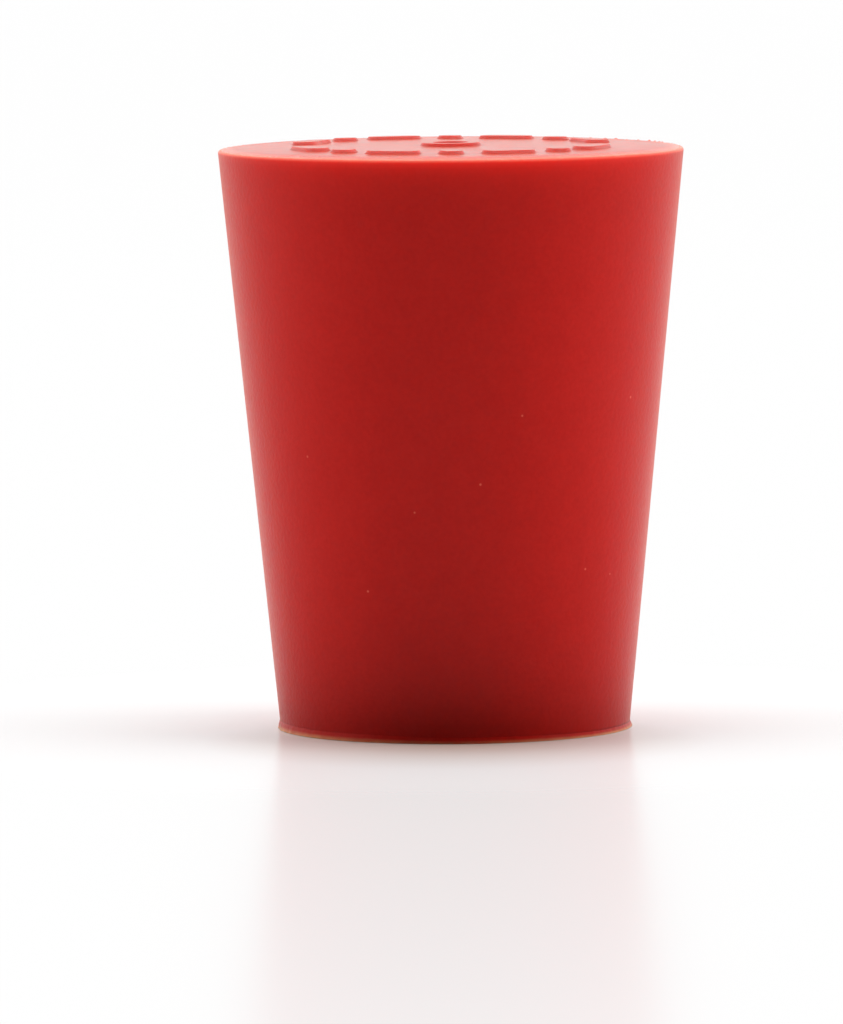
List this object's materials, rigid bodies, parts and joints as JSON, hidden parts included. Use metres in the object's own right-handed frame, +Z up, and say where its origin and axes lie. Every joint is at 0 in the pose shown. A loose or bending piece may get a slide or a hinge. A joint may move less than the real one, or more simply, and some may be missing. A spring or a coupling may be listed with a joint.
{
  "type": "rubber stopper",
  "caption": "Solid tapered rubber stopper, wider at the top, that seals a flask, bottle or tube neck by wedging into it.",
  "frame": {"origin": "centre of the narrow foot, on the surface that the stopper stands on", "axes": "+Z up along the stopper's axis, from the narrow foot to the wide top; the two arcs of raised marks lie towards -Y and +Y"},
  "size_m": [0.024, 0.024, 0.0302],
  "materials": {
    "red_rubber": "matte"
  },
  "bodies": {
    "root": {"stopper": "red_rubber"}
  },
  "joints": []
}
